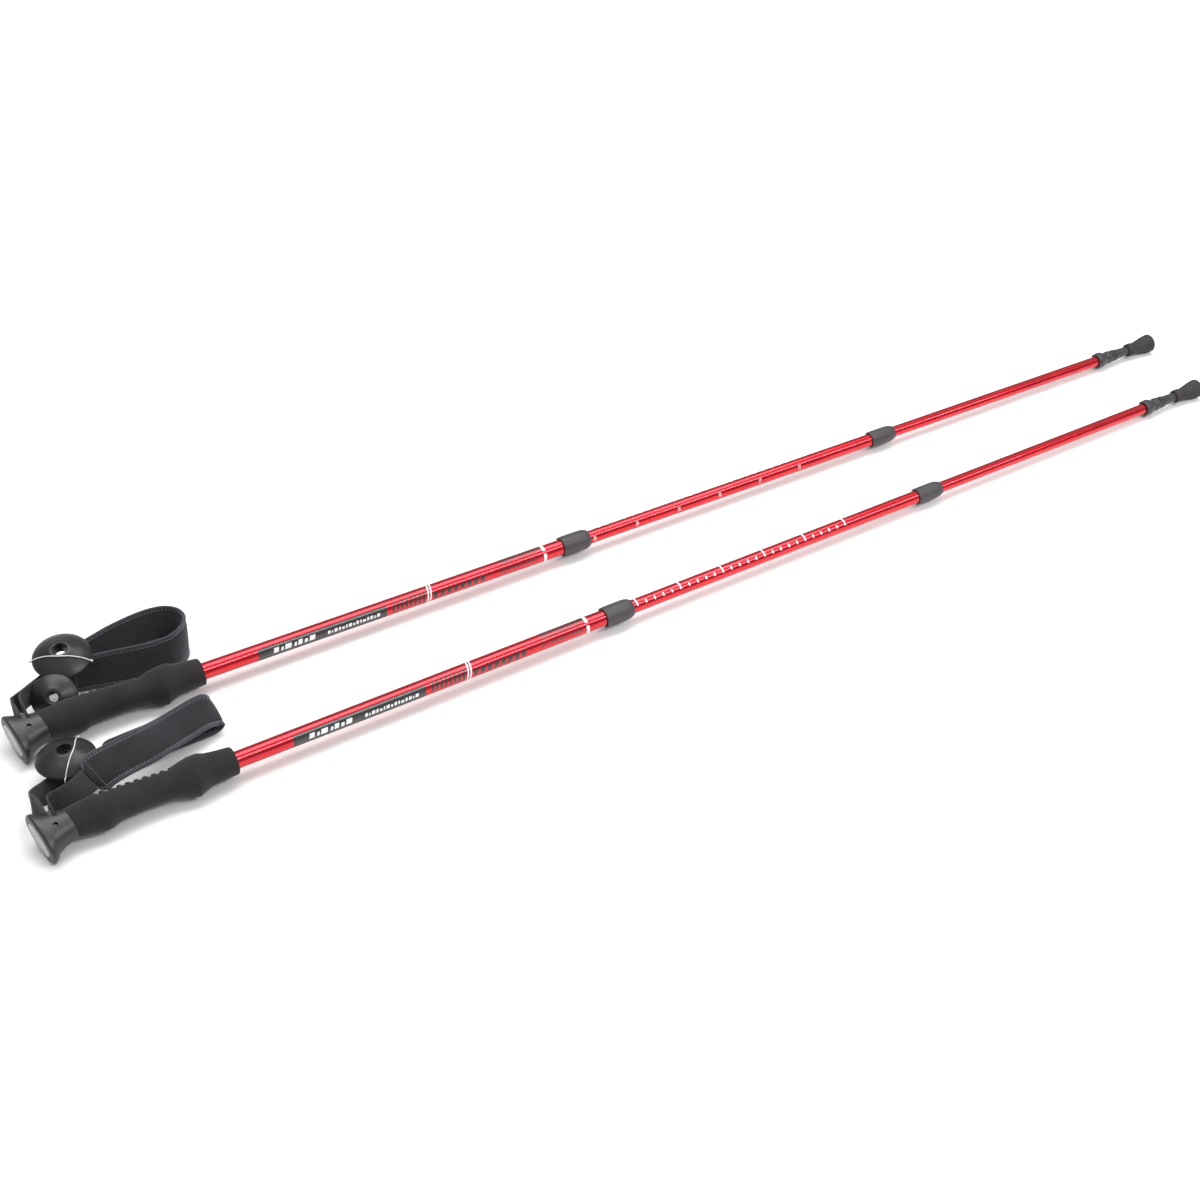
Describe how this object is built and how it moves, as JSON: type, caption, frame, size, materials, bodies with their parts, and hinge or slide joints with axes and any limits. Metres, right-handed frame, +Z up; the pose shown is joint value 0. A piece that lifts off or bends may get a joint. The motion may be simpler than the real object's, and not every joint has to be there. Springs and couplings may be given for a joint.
{
  "type": "trekking pole pair",
  "caption": "Pair of telescopic anti-shock trekking poles, extended and lying side by side, with foam grips, wrist straps, rubber tips and loose mud baskets.",
  "frame": {"origin": "on the floor, under the centre of the box round both poles", "axes": "+X towards the tips, +Y from pole B to pole A, +Z up"},
  "size_m": [1.3754, 0.2546, 0.053],
  "materials": {
    "grip_plastic": "satin",
    "cap_plastic": "satin",
    "foam": "matte closed-cell foam",
    "webbing": "ribbed woven webbing",
    "pad_fabric": "padded fabric, piped edge",
    "red_tube": "glossy red anodised",
    "collar_plastic": "satin",
    "nylon": "matte",
    "cone_plastic": "matte",
    "steel": "satin",
    "tip_plastic": "satin",
    "rubber": "matte",
    "basket_plastic": "satin",
    "nylon_line": "clear"
  },
  "bodies": {
    "handle_a": {"grip_head_a": "grip_plastic", "head_cap_a": "cap_plastic", "strap_pin_a": "steel", "foam_grip_a": "foam", "upper_tube_a": "red_tube", "upper_collar_a": "collar_plastic", "strap_webbing_a": "webbing", "strap_pad_a": "pad_fabric"},
    "wedge_a": {"strap_wedge_a": "grip_plastic"},
    "upper_lock_a": {"upper_expander_a": "nylon"},
    "upper_cone_a": {"upper_cone_a": "cone_plastic"},
    "plunger_a": {"shock_plunger_a": "steel", "shock_spring_a": "steel"},
    "middle_a": {"middle_plug_a": "nylon", "middle_tube_a": "red_tube", "lower_collar_a": "collar_plastic"},
    "lower_lock_a": {"lower_expander_a": "nylon"},
    "lower_cone_a": {"lower_cone_a": "cone_plastic"},
    "lower_a": {"lock_screw_a": "steel", "lower_plug_a": "nylon", "lower_tube_a": "red_tube", "tip_adaptor_a": "tip_plastic", "steel_tip_a": "steel"},
    "rubber_tip_a": {"rubber_tip_a": "rubber"},
    "handle_b": {"grip_head_b": "grip_plastic", "head_cap_b": "cap_plastic", "strap_pin_b": "steel", "foam_grip_b": "foam", "upper_tube_b": "red_tube", "upper_collar_b": "collar_plastic", "strap_webbing_b": "webbing", "strap_pad_b": "pad_fabric"},
    "wedge_b": {"strap_wedge_b": "grip_plastic"},
    "upper_lock_b": {"upper_expander_b": "nylon"},
    "upper_cone_b": {"upper_cone_b": "cone_plastic"},
    "plunger_b": {"shock_plunger_b": "steel", "shock_spring_b": "steel"},
    "middle_b": {"middle_plug_b": "nylon", "middle_tube_b": "red_tube", "lower_collar_b": "collar_plastic"},
    "lower_lock_b": {"lower_expander_b": "nylon"},
    "lower_cone_b": {"lower_cone_b": "cone_plastic"},
    "lower_b": {"lock_screw_b": "steel", "lower_plug_b": "nylon", "lower_tube_b": "red_tube", "tip_adaptor_b": "tip_plastic", "steel_tip_b": "steel"},
    "rubber_tip_b": {"rubber_tip_b": "rubber"},
    "basket_a": {"mud_basket_a": "basket_plastic", "tag_line_a": "nylon_line"},
    "second_basket_a": {"small_basket_a": "basket_plastic"},
    "basket_b": {"mud_basket_b": "basket_plastic", "tag_line_b": "nylon_line"}
  },
  "joints": [
    {"name": "strap_wedge_out_a", "type": "slide", "parent": "handle_a", "child": "wedge_a", "axis": [0.0033, 0.8829, 0.4695], "range_m": [0, 0.006]},
    {"name": "middle_telescope_a", "type": "slide", "parent": "handle_a", "child": "upper_lock_a", "axis": [-1, 0, 0.0071], "range_m": [0, 0.335]},
    {"name": "upper_cone_slide_a", "type": "slide", "parent": "upper_lock_a", "child": "upper_cone_a", "axis": [-1, 0, 0.0071], "range_m": [0, 0.0022]},
    {"name": "upper_twist_a", "type": "hinge", "parent": "upper_lock_a", "child": "plunger_a", "pos_m": [-0.20336, 0.03217, 0.01654], "axis": [1, 0, -0.0071], "range_deg": [-540, 0]},
    {"name": "anti_shock_a", "type": "slide", "parent": "plunger_a", "child": "middle_a", "axis": [-1, 0, 0.0071], "range_m": [0, 0.01], "stiffness_N_per_m": 6000, "springref_m": -0.001, "deforming": ["shock_spring_a"]},
    {"name": "lower_telescope_a", "type": "slide", "parent": "middle_a", "child": "lower_lock_a", "axis": [-1, 0, 0.0071], "range_m": [0, 0.28]},
    {"name": "lower_cone_slide_a", "type": "slide", "parent": "lower_lock_a", "child": "lower_cone_a", "axis": [-1, 0, 0.0071], "range_m": [0, 0.0022]},
    {"name": "lower_twist_a", "type": "hinge", "parent": "lower_lock_a", "child": "lower_a", "pos_m": [0.22663, 0.03217, 0.01347], "axis": [1, 0, -0.0071], "range_deg": [-540, 0]},
    {"name": "rubber_tip_off_a", "type": "slide", "parent": "lower_a", "child": "rubber_tip_a", "axis": [1, 0, -0.0071], "range_m": [0, 0.04]},
    {"name": "pole_b_apart", "type": "slide", "parent": "handle_a", "child": "handle_b", "axis": [0, -1, 0], "range_m": [0, 0.15]},
    {"name": "strap_wedge_out_b", "type": "slide", "parent": "handle_b", "child": "wedge_b", "axis": [-0.0178, 0.8828, 0.4695], "range_m": [0, 0.006]},
    {"name": "middle_telescope_b", "type": "slide", "parent": "handle_b", "child": "upper_lock_b", "axis": [-0.9997, -0.0239, 0.0071], "range_m": [0, 0.335]},
    {"name": "upper_cone_slide_b", "type": "slide", "parent": "upper_lock_b", "child": "upper_cone_b", "axis": [-0.9997, -0.0239, 0.0071], "range_m": [0, 0.0022]},
    {"name": "upper_twist_b", "type": "hinge", "parent": "upper_lock_b", "child": "plunger_b", "pos_m": [-0.22839, -0.09095, 0.01654], "axis": [0.9997, 0.0239, -0.0071], "range_deg": [-540, 0]},
    {"name": "anti_shock_b", "type": "slide", "parent": "plunger_b", "child": "middle_b", "axis": [-0.9997, -0.0239, 0.0071], "range_m": [0, 0.01], "stiffness_N_per_m": 6000, "springref_m": -0.001, "deforming": ["shock_spring_b"]},
    {"name": "lower_telescope_b", "type": "slide", "parent": "middle_b", "child": "lower_lock_b", "axis": [-0.9997, -0.0239, 0.0071], "range_m": [0, 0.28]},
    {"name": "lower_cone_slide_b", "type": "slide", "parent": "lower_lock_b", "child": "lower_cone_b", "axis": [-0.9997, -0.0239, 0.0071], "range_m": [0, 0.0022]},
    {"name": "lower_twist_b", "type": "hinge", "parent": "lower_lock_b", "child": "lower_b", "pos_m": [0.20148, -0.08067, 0.01347], "axis": [0.9997, 0.0239, -0.0071], "range_deg": [-540, 0]},
    {"name": "rubber_tip_off_b", "type": "slide", "parent": "lower_b", "child": "rubber_tip_b", "axis": [0.9997, 0.0239, -0.0071], "range_m": [0, 0.04]},
    {"name": "basket_a_lift", "type": "slide", "parent": "handle_a", "child": "basket_a", "axis": [0.1005, 0.7035, 0.7035], "range_m": [0, 0.05]},
    {"name": "second_basket_a_lift", "type": "slide", "parent": "handle_a", "child": "second_basket_a", "axis": [0, 0, 1], "range_m": [0, 0.003]},
    {"name": "basket_b_lift", "type": "slide", "parent": "handle_b", "child": "basket_b", "axis": [0, 0.1483, 0.9889], "range_m": [0, 0.05]}
  ],
  "couplings": [
    {"joint": "upper_cone_slide_a", "follows": "upper_twist_a", "m_per_rad": -0.0002},
    {"joint": "lower_cone_slide_a", "follows": "lower_twist_a", "m_per_rad": -0.0002},
    {"joint": "upper_cone_slide_b", "follows": "upper_twist_b", "m_per_rad": -0.0002},
    {"joint": "lower_cone_slide_b", "follows": "lower_twist_b", "m_per_rad": -0.0002}
  ]
}
